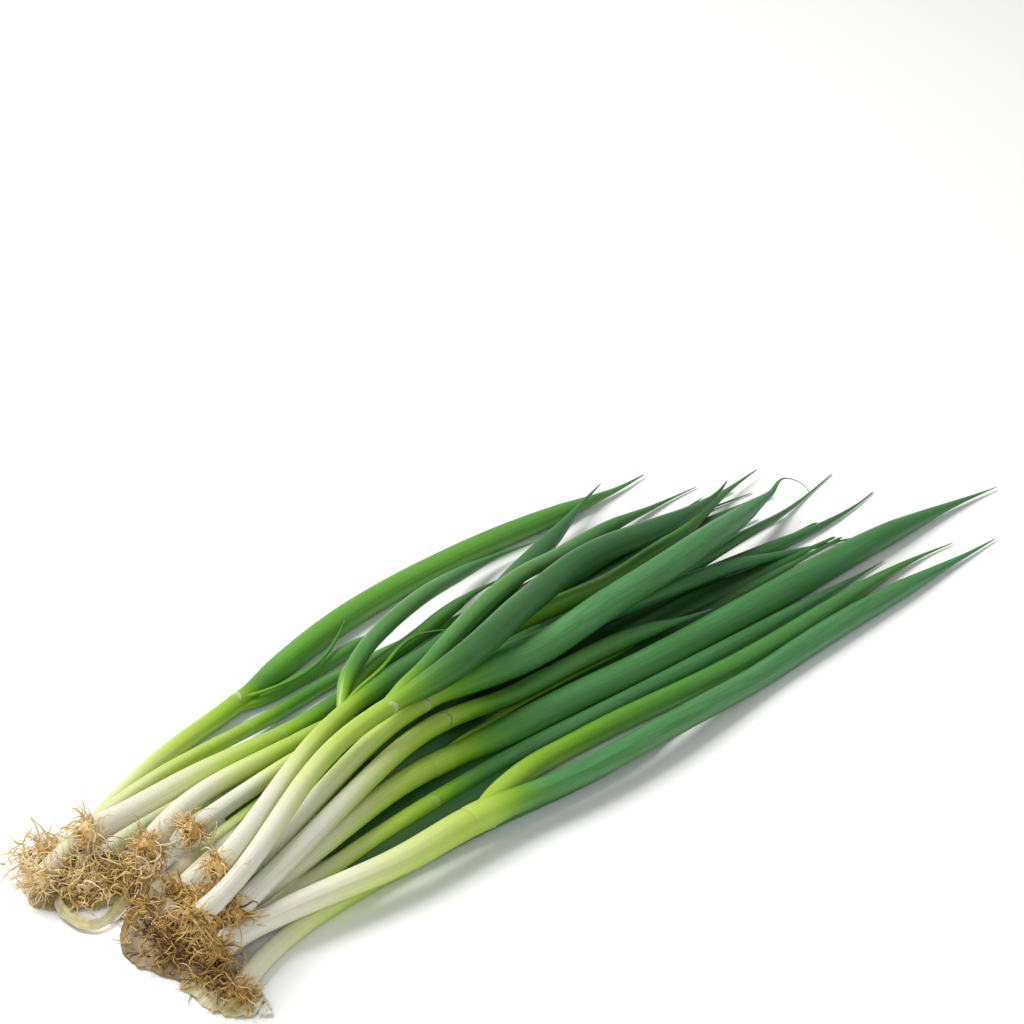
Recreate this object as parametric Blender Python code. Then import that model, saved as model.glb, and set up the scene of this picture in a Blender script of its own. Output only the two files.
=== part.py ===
"""A bunch of spring onions lying loose on a flat surface.

Sixteen onions lie side by side and across one another, roots at -X and leaf tips at +X.
Each onion is a white shank, a tuft of roots and one to four hollow leaves.
The plan of every piece is stated below. The heights are not: each onion is laid on the
ones before it, as far down as they let it come.
"""
from math import cos, pi, sin, tau

import bmesh
import bpy
import numpy as np

MM = 0.001                  # the plan is in millimetres, the model in metres

# Each onion in the order it is laid down, the first one lowest.
# root and collar: where the shank starts and ends; tip: where a leaf ends (x, y, mm).
# bow: how far the route stands off its chord, to the left, at even steps along it (mm).
# girth: the diameter, for a shank at its root and at its collar (mm).
ONIONS = [
    {"root": (-138, 67), "collar": (-41, 91), "bow": (4.5, 5.5), "girth": (6, 7), "leaves": [
        {"tip": (185, 102), "bow": (11, 11.5, 4), "girth": 9.5},
        {"tip": (35, 93), "bow": (-2.5, -2, -0.5), "girth": 5.5},
        {"tip": (19, 101), "bow": (-6.5, -8.5, -6), "girth": 1.5},
    ]},
    {"root": (-155, 57), "collar": (-51, 75), "bow": (5.5, 5.5), "girth": (6, 5.5), "leaves": [
        {"tip": (205, 62), "bow": (9, 5.5, 3.5), "girth": 5},
    ]},
    {"root": (-136, 55), "collar": (-48, 61), "bow": (5.5, 3), "girth": (6.5, 5.5), "leaves": [
        {"tip": (104, 52), "bow": (-1, -2.5, -2), "girth": 5.5},
    ]},
    {"root": (-134, 58), "collar": (-53, 55), "bow": (1, 2.5), "girth": (8, 7.5), "leaves": [
        {"tip": (182, 69), "bow": (6, 3, -0.5), "girth": 7.5},
    ]},
    {"root": (-138, 26), "collar": (-64, 44), "bow": (3, 1.5), "girth": (7, 6.5), "leaves": [
        {"tip": (85, 40), "bow": (2, 3, 2.5), "girth": 5.5},
    ]},
    {"root": (-126, 22), "collar": (-55, 39), "bow": (1.5, 1), "girth": (8, 7), "leaves": [
        {"tip": (239, 28), "bow": (2.5, 4, -2.5), "girth": 6.5},
    ]},
    {"root": (-123, 41), "collar": (-47, 47), "bow": (6.5, 5), "girth": (7.5, 6), "leaves": [
        {"tip": (239, 49), "bow": (-8, -16, -12.5), "girth": 4.5},
        {"tip": (197, 44), "bow": (3, 1, 0), "girth": 4.5},
    ]},
    {"root": (-109, 36), "collar": (-53, 41), "bow": (0.5, 0), "girth": (6.5, 5.5), "leaves": [
        {"tip": (207, 10), "bow": (2.5, 3, 6.5), "girth": 6.5},
    ]},
    {"root": (-127, 1), "collar": (-35, 2), "bow": (-2, -0.5), "girth": (6.5, 7), "leaves": [
        {"tip": (199, -8), "bow": (0.5, -2.5, -3), "girth": 7},
    ]},
    {"root": (-144, -25), "collar": (-52, -15), "bow": (6.5, 4.5), "girth": (6.5, 6.5), "leaves": [
        {"tip": (70, -26), "bow": (-1.5, -3, -2), "girth": 6},
    ]},
    {"root": (-140, -11), "collar": (-33, -19), "bow": (-0.5, -4), "girth": (7.5, 10.5), "leaves": [
        {"tip": (242, -29), "bow": (-8, -4, -1), "girth": 9},
        {"tip": (228, -19), "bow": (9.5, 2.5, 2), "girth": 8},
    ]},
    {"root": (-133, -3), "collar": (-18, 14), "bow": (-1, 1), "girth": (6.5, 8.5), "leaves": [
        {"tip": (275, -6), "bow": (-2.5, -2, 1), "girth": 11.5},
        {"tip": (121, 18), "bow": (6.5, 4.5, 1.5), "girth": 5},
    ]},
    {"root": (-131, -9), "collar": (-11, 23), "bow": (-0.5, 0.5), "girth": (7, 7), "leaves": [
        {"tip": (120, 11), "bow": (1.5, 3.5, 3), "girth": 7},
    ]},
    {"root": (-133, 2), "collar": (-15, 30), "bow": (-1.5, -0.5), "girth": (6, 7), "leaves": [
        {"tip": (207, 47), "bow": (-13, -14.5, -8.5), "girth": 11},
        {"tip": (217, 70), "bow": (1.5, -2.5, -1.5), "girth": 7.5},
    ]},
    {"root": (-147, -11), "collar": (-34, 25), "bow": (0, 3.5), "girth": (6.5, 6.5), "leaves": [
        {"tip": (192, 65), "bow": (-6, 1.5, -1), "girth": 10},
        {"tip": (193, 81), "bow": (4.5, 11, 11.5), "girth": 6.5},
    ]},
    {"root": (-127, 2), "collar": (-39, 41), "bow": (-0.5, 0.5), "girth": (6.5, 6.5), "leaves": [
        {"tip": (82, 81), "bow": (7.5, 6, 6), "girth": 5.5},
        {"tip": (160, 103), "bow": (-6.5, -5, -1.5), "girth": 8},
        {"tip": (28, 53), "bow": (4, 6, 9.5), "girth": 1.5},
        {"tip": (113, 94), "bow": (10, 12.5, 13), "girth": 6},
    ]},
]

# Where the leaves of one onion sit in the top of its shank, by their number:
# (sideways, up) from the shank's centre, and the radius there, all in shank radii.
SEATS = {
    1: [(0, 0)],
    2: [(-0.5, 0), (0.5, 0)],
    3: [(0.45, -0.3), (-0.5, -0.25), (0, 0.55)],
    4: [(0, -0.55), (-0.55, 0), (0, 0.55), (0.55, 0)],
}
SEAT_RADIUS = {1: 0.85, 2: 0.45, 3: 0.42, 4: 0.33}
SEAT_LENGTH = 30.0          # a leaf has left its seat's offset this far from the collar
LEAF_RISE = 0.40            # steepest a leaf climbs out of its collar
LEAF_DROP = 0.25            # steepest it falls away from it

LEAF_SWELL = 20.0           # a leaf reaches its full girth this far from the collar
LEAF_TAPER_FROM = 0.6       # share of its length where it starts to taper
LEAF_TAPER_POWER = 2.0
TIP_RADIUS = 0.5

TUFT_LENGTH = 16.0          # roots reach this far behind the root plate
TUFT_FLARE = 1.12           # their radius at the plate, in shank radii
TUFT_NARROWING = 0.62       # how much of that is gone at their far end
TUFT_LOBE = 0.8             # every other corner of a tuft is drawn in to this

STEP = 2.0                  # spacing of the points along a route
LAYING_GAP = 0.55           # clearance between two onions
SISTER_GAP = 0.35           # clearance between two leaves of one onion
PIECE_GAP = 0.3             # clearance between a shank and its roots or leaves
SHANK_BEND = 0.0012         # how sharply each may bend up or down, as z = bend * s * s
WHOLE_BEND = 0.0016
LEAF_BEND = 0.0025

SIDES = 8
FLAT = cos(pi / SIDES)      # from a ring's centre to its flat underside, in ring radii
SHANK_RING_EVERY = 12.0
LEAF_RING_EVERY = 15.0
LEAST_STRETCHES = 8

COLOURS = {
    "shank": (0.80, 0.84, 0.62),
    "leaf": (0.13, 0.36, 0.12),
    "roots": (0.56, 0.40, 0.20),
}
ROUGHNESS = {"shank": 0.35, "leaf": 0.40, "roots": 0.80}


def clear_scene():
    for obj in list(bpy.data.objects):
        bpy.data.objects.remove(obj, do_unlink=True)


def make_material(name):
    material = bpy.data.materials.new(name)
    material.use_nodes = True
    shader = material.node_tree.nodes["Principled BSDF"]
    shader.inputs["Base Color"].default_value = (*COLOURS[name], 1.0)
    shader.inputs["Roughness"].default_value = ROUGHNESS[name]
    shader.inputs["Metallic"].default_value = 0.0
    return material


# ---- routes in plan

def bowed_route(start, end, bow):
    """Points from start to end along a smooth bow that stands off the chord as stated."""
    start = np.array(start, float)
    chord = np.array(end, float) - start
    length = np.linalg.norm(chord)
    share = np.linspace(0, 1, max(12, int(length / STEP) + 1))
    left = np.array([-chord[1], chord[0]]) / length
    places = np.linspace(0, 1, len(bow) + 2)
    off = np.polyval(np.polyfit(places, [0, *bow, 0], len(bow) + 1), share)
    return start + share[:, None] * chord + off[:, None] * left


def distance_along(route):
    steps = np.linalg.norm(np.diff(route, axis=0), axis=1)
    return np.concatenate([[0], np.cumsum(steps)])


def left_of(direction):
    direction = direction / np.linalg.norm(direction)
    return np.array([-direction[1], direction[0]])


# ---- girths

def shank_radii(along, girth):
    return (girth[0] + (girth[1] - girth[0]) * along / along[-1]) / 2


def tuft_radii(behind, plate_radius):
    return plate_radius * (TUFT_FLARE - TUFT_NARROWING * (behind / TUFT_LENGTH) ** 2)


def leaf_radii(along, seat_radius, girth):
    swell = np.clip(along / LEAF_SWELL, 0, 1)
    swell = swell * swell * (3 - 2 * swell)
    grown = seat_radius + (girth / 2 - seat_radius) * swell
    taper = np.clip((along / along[-1] - LEAF_TAPER_FROM) / (1 - LEAF_TAPER_FROM), 0, 1)
    narrowed = girth / 2 * (1 - taper ** LEAF_TAPER_POWER)
    return np.maximum(np.minimum(grown, narrowed), TIP_RADIUS)


# ---- laying one piece on those below it

def resting_height(route, radii, below, gap):
    """Lowest centre height at each point: on the surface, or on the pieces below."""
    lowest = FLAT * radii
    for other, other_radii in below:
        distance = ((route[:, None, :] - other[None, :, :2]) ** 2).sum(2)
        reach = (radii[:, None] + other_radii[None, :] + gap) ** 2
        touch = other[None, :, 2] + np.sqrt(np.maximum(reach - distance, 0))
        held = np.where(distance < reach, touch, 0).max(1)
        lowest = np.maximum(lowest, held)
    return lowest


def drape(along, lowest, bend):
    """The lowest smooth height that keeps above lowest and bends no more than bend."""
    fall = bend * (along[:, None] - along[None, :]) ** 2
    over = (lowest[None, :] - fall).max(1)
    filled = (over[None, :] - fall).max(1)
    return (filled[None, :] + fall).min(1)


def lay_onion(onion, below):
    """Heights for one onion. Gives its shank with the roots' run in front, and its leaves."""
    shank = bowed_route(onion["root"], onion["collar"], onion["bow"])
    plate_radius = onion["girth"][0] / 2
    collar_radius = onion["girth"][1] / 2
    behind = np.arange(TUFT_LENGTH, 0, -STEP)
    heading = (shank[1] - shank[0]) / np.linalg.norm(shank[1] - shank[0])
    spine = np.vstack([shank[0] - behind[:, None] * heading, shank])
    radii = np.concatenate([tuft_radii(behind, plate_radius),
                            shank_radii(distance_along(shank), onion["girth"])])
    count = len(onion["leaves"])
    blades = []
    for leaf in onion["leaves"]:
        route = bowed_route(onion["collar"], leaf["tip"], leaf["bow"])
        along = distance_along(route)
        seat_radius = min(SEAT_RADIUS[count] * collar_radius, 0.45 * leaf["girth"])
        blades.append((route, along, leaf_radii(along, seat_radius, leaf["girth"])))

    # the shank lifts as far as it and each of its leaves need
    along_spine = distance_along(spine)
    height = resting_height(spine, radii, below, LAYING_GAP)
    for _ in range(3):
        lifted = drape(along_spine, height, SHANK_BEND)
        for route, along, blade_radii in blades:
            whole = distance_along(np.vstack([spine, route[1:]]))
            blade = resting_height(route[1:], blade_radii[1:], below, LAYING_GAP)
            draped = drape(whole, np.concatenate([height, blade]), WHOLE_BEND)
            lifted = np.maximum(lifted, draped[:len(spine)])
        height = lifted
    laid_shank = (np.column_stack([spine, height]), radii)

    # each leaf starts in its seat and comes to rest on what is under it
    collar_left = left_of(spine[-1] - spine[-2])
    laid_leaves = []
    for (route, along, blade_radii), (aside, up) in zip(blades, SEATS[count]):
        fade = np.clip(1 - along / SEAT_LENGTH, 0, 1)
        fade = fade * fade * (3 - 2 * fade)
        route = route + (aside * collar_radius * fade)[:, None] * collar_left
        rest = resting_height(route, blade_radii, below, LAYING_GAP)
        rest = np.maximum(rest, resting_height(route, blade_radii, laid_leaves, SISTER_GAP))
        seat = height[-1] + up * collar_radius
        z = np.clip(drape(along, rest, LEAF_BEND), seat - LEAF_DROP * along, seat + LEAF_RISE * along)
        z = np.maximum(z, FLAT * blade_radii)
        laid_leaves.append((np.column_stack([route, z]), blade_radii))
    return laid_shank, laid_leaves


def lay_bunch():
    below = []
    bunch = []
    for onion in ONIONS:
        shank, leaves = lay_onion(onion, below)
        below += [shank, *leaves]
        bunch.append((shank, leaves))
    return bunch


# ---- meshes

def ring_places(count, every, length):
    """Which points along a route get a ring: the ends and about one in each stretch."""
    rings = max(LEAST_STRETCHES, round(length / every)) + 1
    return np.unique(np.round(np.linspace(0, count - 1, rings)).astype(int))


def ring_sides(route, places):
    """The level direction across the route at each ring."""
    ahead = route[np.minimum(places + 1, len(route) - 1), :2]
    back = route[np.maximum(places - 1, 0), :2]
    return [left_of(step) for step in ahead - back]


def tube_object(name, centres, sides, radii, material, lobe=1.0):
    """A closed tube through upright eight-sided rings, flat side down."""
    bm = bmesh.new()
    rings = []
    for centre, side, radius in zip(centres, sides, radii):
        ring = []
        for k in range(SIDES):
            angle = tau * (k + 0.5) / SIDES
            reach = radius * (lobe if k % 2 else 1.0)
            across = reach * cos(angle)
            place = (centre[0] + across * side[0], centre[1] + across * side[1],
                     centre[2] + reach * sin(angle))
            ring.append(bm.verts.new([MM * value for value in place]))
        rings.append(ring)
    for near, far in zip(rings, rings[1:]):
        for k in range(SIDES):
            following = (k + 1) % SIDES
            bm.faces.new((near[k], near[following], far[following], far[k]))
    bm.faces.new(reversed(rings[0]))
    bm.faces.new(rings[-1])
    bmesh.ops.recalc_face_normals(bm, faces=bm.faces)
    mesh = bpy.data.meshes.new(name)
    bm.to_mesh(mesh)
    bm.free()
    mesh.materials.append(material)
    mesh.shade_smooth()
    obj = bpy.data.objects.new(name, mesh)
    bpy.context.scene.collection.objects.link(obj)
    return obj


def make_shank(name, spine, radii, material):
    start = int(TUFT_LENGTH / STEP)
    route = spine[start:].copy()
    last = route[-1] - route[-2]
    route[-1] = route[-2] + last * (1 - PIECE_GAP / np.linalg.norm(last))
    places = ring_places(len(route), SHANK_RING_EVERY, distance_along(route)[-1])
    sides = ring_sides(route, places)
    return tube_object(name, route[places], sides, radii[start:][places], material)


def make_roots(name, spine, radii, material):
    start = int(TUFT_LENGTH / STEP)
    places = np.array([start, start - 2, start - 5, 0])
    centres = spine[places].copy()
    heading = spine[start] - spine[start - 1]
    centres[0] -= PIECE_GAP * heading / np.linalg.norm(heading)
    sides = [-left_of(heading[:2])] * len(places)
    plate = radii[start - 1]
    return tube_object(name, centres, sides, [plate, *radii[places[1:]]], material, TUFT_LOBE)


def make_leaf(name, route, radii, collar_left, material):
    places = ring_places(len(route), LEAF_RING_EVERY, distance_along(route)[-1])
    sides = ring_sides(route, places)
    sides[0] = collar_left
    return tube_object(name, route[places], sides, radii[places], material)


def main():
    clear_scene()
    materials = {name: make_material(name) for name in COLOURS}
    pieces = []
    for number, ((spine, radii), leaves) in enumerate(lay_bunch(), 1):
        pieces.append(make_shank(f"shank_{number:02}", spine, radii, materials["shank"]))
        pieces.append(make_roots(f"roots_{number:02}", spine, radii, materials["roots"]))
        collar_left = left_of(spine[-1, :2] - spine[-2, :2])
        for place, (route, blade_radii) in enumerate(leaves, 1):
            name = f"leaf_{number:02}_{place}"
            pieces.append(make_leaf(name, route, blade_radii, collar_left, materials["leaf"]))
    centre_on_origin(pieces)


def centre_on_origin(pieces):
    """Moves every mesh so that the bunch's box stands on the origin by its middle."""
    corners = np.array([vertex.co for piece in pieces for vertex in piece.data.vertices])
    low = corners.min(0)
    high = corners.max(0)
    shift = np.array([(low[0] + high[0]) / 2, (low[1] + high[1]) / 2, low[2]])
    for piece in pieces:
        for vertex in piece.data.vertices:
            vertex.co = vertex.co - type(vertex.co)(shift)


main()
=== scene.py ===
import math
import random

import bmesh
import bpy
import numpy as np
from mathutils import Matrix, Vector, noise


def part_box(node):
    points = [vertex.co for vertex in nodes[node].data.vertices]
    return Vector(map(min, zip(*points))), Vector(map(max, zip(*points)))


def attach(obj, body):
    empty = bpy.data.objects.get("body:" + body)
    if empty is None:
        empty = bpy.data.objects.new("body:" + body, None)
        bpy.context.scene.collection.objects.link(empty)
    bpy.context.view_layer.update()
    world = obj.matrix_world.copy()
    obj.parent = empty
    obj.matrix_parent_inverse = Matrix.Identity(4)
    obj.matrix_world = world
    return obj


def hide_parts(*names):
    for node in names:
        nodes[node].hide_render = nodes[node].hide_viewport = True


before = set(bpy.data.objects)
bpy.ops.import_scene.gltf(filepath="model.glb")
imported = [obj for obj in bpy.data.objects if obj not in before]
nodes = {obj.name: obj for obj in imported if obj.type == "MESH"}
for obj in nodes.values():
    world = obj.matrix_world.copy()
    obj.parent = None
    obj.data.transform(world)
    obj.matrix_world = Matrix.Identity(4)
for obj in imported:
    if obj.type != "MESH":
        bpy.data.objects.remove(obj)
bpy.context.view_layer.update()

mm = 0.001
print("frame loaded,", len(nodes), "nodes")


def deselectAll():
    if bpy.context.object and bpy.context.object.mode != "OBJECT":
        bpy.ops.object.mode_set(mode="OBJECT")
    bpy.ops.object.select_all(action="DESELECT")


def findCaps(tube):
    # the two flat eight-cornered ends of a merged tube
    caps = []
    for face in tube.faces:
        flat = {face}
        queue = [face]
        while queue:
            for edge in queue.pop().edges:
                for other in edge.link_faces:
                    if other not in flat and other.normal.dot(face.normal) > 0.99999:
                        flat.add(other)
                        queue.append(other)
        corners = {v for f in flat for v in f.verts}
        if len(flat) != 6 or len(corners) != 8 or any(corners == c for c in caps):
            continue
        middle = sum((v.co for v in corners), Vector()) / 8
        spans = [(v.co - middle).length for v in corners]
        if max(spans) < 1.03 * min(spans):
            caps.append(corners)
    return caps


def readTube(nodeName, startsNear):
    # ring centres and radii of a CAD tube, from the end nearest a point to the other
    tube = bmesh.new()
    tube.from_mesh(nodes[nodeName].data)
    bmesh.ops.remove_doubles(tube, verts=tube.verts, dist=0.00001)
    tube.normal_update()
    rings = [findCaps(tube)[0]]
    seen = set(rings[0])
    while True:
        ring = {e.other_vert(v) for v in rings[-1] for e in v.link_edges} - seen
        if not ring:
            break
        seen |= ring
        rings.append(ring)
    centres = [sum((v.co for v in ring), Vector()) / len(ring) for ring in rings]
    radii = [sum((v.co - c).length for v in ring) / len(ring) for ring, c in zip(rings, centres)]
    tube.free()
    if (centres[-1] - startsNear).length < (centres[0] - startsNear).length:
        centres.reverse()
        radii.reverse()
    return np.array(centres), np.array(radii)


def middleOf(nodeName):
    low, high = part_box(nodeName)
    return (low + high) / 2


class Route:
    # one smooth line with a side and an up direction all along it
    def __init__(self, points, radii, step=1.5 * mm):
        points = np.asarray(points, float)
        chord = np.r_[0, np.cumsum(np.linalg.norm(np.diff(points, axis=0), axis=1))]
        slope = np.gradient(points, chord, axis=0)
        count = max(int(chord[-1] / step), 8)
        t = np.linspace(0, chord[-1], count + 1)
        k = np.clip(np.searchsorted(chord, t, side="right") - 1, 0, len(chord) - 2)
        h = chord[k + 1] - chord[k]
        x = ((t - chord[k]) / h)[:, None]
        h = h[:, None]
        self.point = ((2 * x ** 3 - 3 * x ** 2 + 1) * points[k]
                      + (x ** 3 - 2 * x ** 2 + x) * h * slope[k]
                      + (3 * x ** 2 - 2 * x ** 3) * points[k + 1]
                      + (x ** 3 - x ** 2) * h * slope[k + 1])
        self.radius = np.interp(t, chord, radii)
        self.measure()

    def measure(self):
        self.at = np.r_[0, np.cumsum(np.linalg.norm(np.diff(self.point, axis=0), axis=1))]
        self.length = self.at[-1]
        self.tangent = np.gradient(self.point, self.at, axis=0)
        self.tangent /= np.linalg.norm(self.tangent, axis=1)[:, None]
        self.side = np.cross([0, 0, 1], self.tangent)
        self.side /= np.linalg.norm(self.side, axis=1)[:, None]
        self.up = np.cross(self.tangent, self.side)

    def take(self, values, s):
        return np.stack([np.interp(s, self.at, values[:, i]) for i in range(3)], axis=-1)

    def place(self, s, around, out, lift=1.0):
        # points at distance s along, turned by the angle around, out from the middle line
        over = np.maximum(s - self.length, 0) + np.minimum(s, 0)
        centre = self.take(self.point, s) + self.take(self.tangent, s) * over[..., None]
        side = self.take(self.side, s) * (np.cos(around) * out)[..., None]
        up = self.take(self.up, s) * (np.sin(around) * out * lift)[..., None]
        return centre + side + up

    def radiusAt(self, s):
        return np.interp(s, self.at, self.radius)


onions = {}
for number in range(1, 17):
    name = f"{number:02d}"
    centres, radii = readTube("shank_" + name, middleOf("roots_" + name))
    shank = Route(centres, radii)
    leafNames = sorted(n for n in nodes if n.startswith("leaf_" + name))
    leafTubes = [readTube(n, Vector(centres[-1])) for n in leafNames]
    onions[number] = {"name": name, "shank": shank, "leafNames": leafNames, "leafTubes": leafTubes}
leafCount = sum(len(o["leafNames"]) for o in onions.values())
print("routes read for", len(onions), "onions and", leafCount, "leaves")


view = {
    "azimuth": -46.0,
    "elevation": 35.0,
    "distance": 915 * mm,
    "target": (-52.39 * mm, -39.36 * mm, 10 * mm),
    "lens": 95.0,
    "shiftX": 0.0039,
    "shiftY": 0.2295,
}


def addCamera():
    a = math.radians(view["azimuth"])
    e = math.radians(view["elevation"])
    back = Vector((math.sin(a) * math.cos(e), -math.cos(a) * math.cos(e), math.sin(e)))
    place = Vector(view["target"]) + back * view["distance"]
    bpy.ops.object.camera_add(location=place)
    camera = bpy.context.object
    camera.rotation_euler = back.to_track_quat("Z", "Y").to_euler()
    camera.data.lens = view["lens"]
    camera.data.shift_x = view["shiftX"]
    camera.data.shift_y = view["shiftY"]
    camera.data.clip_start = 0.01
    bpy.context.scene.camera = camera


studio = {
    # name: (place, size, watts, colour)
    "keySoftbox": ((-0.25, 0.85, 1.30), 0.90, 27.0, (1.0, 0.99, 0.965)),
    "fillSoftbox": ((-0.9, -1.1, 0.9), 1.1, 9.0, (0.97, 0.99, 1.0)),
    "floorColour": (0.90, 0.90, 0.895),
    "skyStrength": 0.34,
}


def addLight(name):
    place, size, watts, colour = studio[name]
    bpy.ops.object.light_add(type="AREA", location=place)
    lamp = bpy.context.object
    lamp.name = name
    lamp.rotation_euler = Vector(place).to_track_quat("Z", "Y").to_euler()
    lamp.data.size = size
    lamp.data.energy = watts
    lamp.data.color = colour


def addFloor():
    bpy.ops.mesh.primitive_plane_add(size=12, location=(0, 0, 0))
    floor = bpy.context.object
    floor.name = "paleFloor"
    material = bpy.data.materials.new("palePaper")
    material.use_nodes = True
    shader = material.node_tree.nodes["Principled BSDF"]
    shader.inputs["Base Color"].default_value = (*studio["floorColour"], 1)
    shader.inputs["Roughness"].default_value = 0.9
    floor.data.materials.append(material)


deselectAll()
addCamera()
addLight("keySoftbox")
addLight("fillSoftbox")
addFloor()
world = bpy.data.worlds.new("studio")
bpy.context.scene.world = world
world.use_nodes = True
world.node_tree.nodes["Background"].inputs["Color"].default_value = (0.97, 0.985, 1.0, 1)
world.node_tree.nodes["Background"].inputs["Strength"].default_value = studio["skyStrength"]
bpy.context.scene.view_settings.view_transform = "Standard"
print("camera, light and floor ready")


class Shading:
    # a small helper that adds and links nodes of one material
    def __init__(self, name):
        self.material = bpy.data.materials.new(name)
        self.material.use_nodes = True
        self.tree = self.material.node_tree
        self.shader = self.tree.nodes["Principled BSDF"]

    def add(self, kind, **values):
        node = self.tree.nodes.new(kind)
        for key, value in values.items():
            if hasattr(node, key):
                setattr(node, key, value)
            else:
                node.inputs[key].default_value = value
        return node

    def link(self, output, target):
        self.tree.links.new(output, target)

    def attribute(self, name, vector=False):
        node = self.add("ShaderNodeAttribute", attribute_name=name)
        return node.outputs["Vector" if vector else "Fac"]

    def math(self, operation, a, b, clamp=False):
        node = self.add("ShaderNodeMath", operation=operation, use_clamp=clamp)
        for socket, value in zip(node.inputs, (a, b)):
            if isinstance(value, (int, float)):
                socket.default_value = value
            else:
                self.link(value, socket)
        return node.outputs[0]

    def ramp(self, factor, stops):
        node = self.add("ShaderNodeValToRGB")
        elements = node.color_ramp.elements
        while len(elements) < len(stops):
            elements.new(0.5)
        for element, (place, colour) in zip(elements, stops):
            element.position = place
            element.color = (*colour, 1)
        self.link(factor, node.inputs[0])
        return node.outputs["Color"]

    def mix(self, factor, a, b, blend="MIX"):
        node = self.add("ShaderNodeMix", data_type="RGBA", blend_type=blend)
        for socket, value in ((node.inputs[0], factor), (node.inputs[6], a), (node.inputs[7], b)):
            if isinstance(value, tuple):
                socket.default_value = (*value, 1)
            elif isinstance(value, (int, float)):
                socket.default_value = value
            else:
                self.link(value, socket)
        return node.outputs[2]

    def noise(self, vector, stretch, scale, detail=3.0, roughness=0.5):
        mapping = self.add("ShaderNodeMapping")
        mapping.inputs["Scale"].default_value = stretch
        self.link(vector, mapping.inputs["Vector"])
        node = self.add("ShaderNodeTexNoise", Scale=scale, Detail=detail, Roughness=roughness)
        self.link(mapping.outputs[0], node.inputs["Vector"])
        return node.outputs["Fac"]

    def range(self, value, low, high, toLow=0.0, toHigh=1.0):
        node = self.add("ShaderNodeMapRange")
        self.link(value, node.inputs["Value"])
        ends = {"From Min": low, "From Max": high, "To Min": toLow, "To Max": toHigh}
        for socket, number in ends.items():
            node.inputs[socket].default_value = number
        return node.outputs[0]

    def bump(self, height, strength, distance):
        node = self.add("ShaderNodeBump", Strength=strength, Distance=distance)
        self.link(height, node.inputs["Height"])
        self.link(node.outputs[0], self.shader.inputs["Normal"])


greens = {
    # the skin's colour from the root plate (0) to the full leaf (1)
    "skin": [(0.00, (0.72, 0.69, 0.60)), (0.07, (0.73, 0.72, 0.57)), (0.19, (0.64, 0.69, 0.29)),
             (0.33, (0.46, 0.60, 0.095)), (0.50, (0.30, 0.48, 0.035)), (0.68, (0.135, 0.325, 0.008)),
             (0.86, (0.050, 0.200, 0.014))],
    "leaf": (0.028, 0.145, 0.030),
    "fresh": (0.130, 0.360, 0.012),
    # painted shade: the dark green of skin that lies in shade
    "paintedShade": (0.010, 0.052, 0.009),
    # waxy bloom with a painted sheen: the paler green of the lit upper side
    "bloomAndSheen": (0.135, 0.375, 0.175),
    "membrane": (0.78, 0.83, 0.66),
    "dry": (0.50, 0.40, 0.19),
    "burnt": (0.085, 0.045, 0.018),
    "rust": (0.60, 0.36, 0.11),
    # how much of the bloom and painted sheen is mixed in
    "bloomAndSheenShare": 0.55,
    "roughness": 0.38,
}


def skinMaterial(name, subsurface):
    # waxy skin: white to green by the "green" attribute, streaked along the strand
    s = Shading(name)
    along = s.attribute("strand", vector=True)
    green = s.attribute("green")
    broad = s.noise(along, (2.2, 2.2, 0.012), 1.0, 2.0)
    ribs = s.noise(along, (11.0, 11.0, 0.012), 1.0, 2.0, 0.6)
    streaks = s.noise(along, (3.5, 3.5, 0.045), 1.0, 4.0, 0.65)
    shifted = s.math("ADD", green, s.range(broad, 0.3, 0.7, -0.035, 0.035), clamp=True)
    shifted = s.math("ADD", shifted, s.range(ribs, 0.3, 0.7, -0.02, 0.02), clamp=True)
    full = s.mix(s.attribute("fresh"), greens["leaf"], greens["fresh"])
    colour = s.ramp(shifted, greens["skin"])
    colour = s.mix(s.range(shifted, 0.80, 1.0), colour, full)
    # the waxy bloom and a painted sheen of the light dull the upper, lit side of the green part, in fine
    # streaks
    bloomAndSheen = s.math("MULTIPLY", s.range(streaks, 0.30, 0.75, 0.15, 1.0), s.attribute("bloomAndSheen"))
    colour = s.mix(s.math("MULTIPLY", bloomAndSheen, greens["bloomAndSheenShare"]), colour, greens["bloomAndSheen"])
    # painted shade, mixed in where the skin lies in shade
    colour = s.mix(s.attribute("paintedShade"), colour, greens["paintedShade"])
    ribShade = s.range(ribs, 0.32, 0.68, 0.90, 1.06)
    shade = s.add("ShaderNodeCombineColor")
    for socket in shade.inputs[:3]:
        s.link(ribShade, socket)
    colour = s.mix(1.0, colour, shade.outputs[0], "MULTIPLY")
    colour = s.mix(s.attribute("rust"), colour, greens["rust"])
    colour = s.mix(s.attribute("pale"), colour, greens["membrane"])
    patchy = s.math("MULTIPLY", s.attribute("dry"), s.range(streaks, 0.3, 0.6, 0.7, 1.25), clamp=True)
    colour = s.mix(patchy, colour, greens["dry"])
    colour = s.mix(s.attribute("burnt"), colour, greens["burnt"])
    s.link(colour, s.shader.inputs["Base Color"])
    rough = greens["roughness"]
    s.link(s.range(streaks, 0.3, 0.7, rough - 0.05, rough + 0.10), s.shader.inputs["Roughness"])
    s.bump(ribs, 0.28, 0.12 * mm)
    s.shader.inputs["Specular IOR Level"].default_value = 0.5
    s.shader.inputs["Subsurface Weight"].default_value = subsurface
    s.shader.inputs["Subsurface Radius"].default_value = (1.0, 1.1, 0.4)
    s.shader.inputs["Subsurface Scale"].default_value = 1.3 * mm
    return s.material


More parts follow.
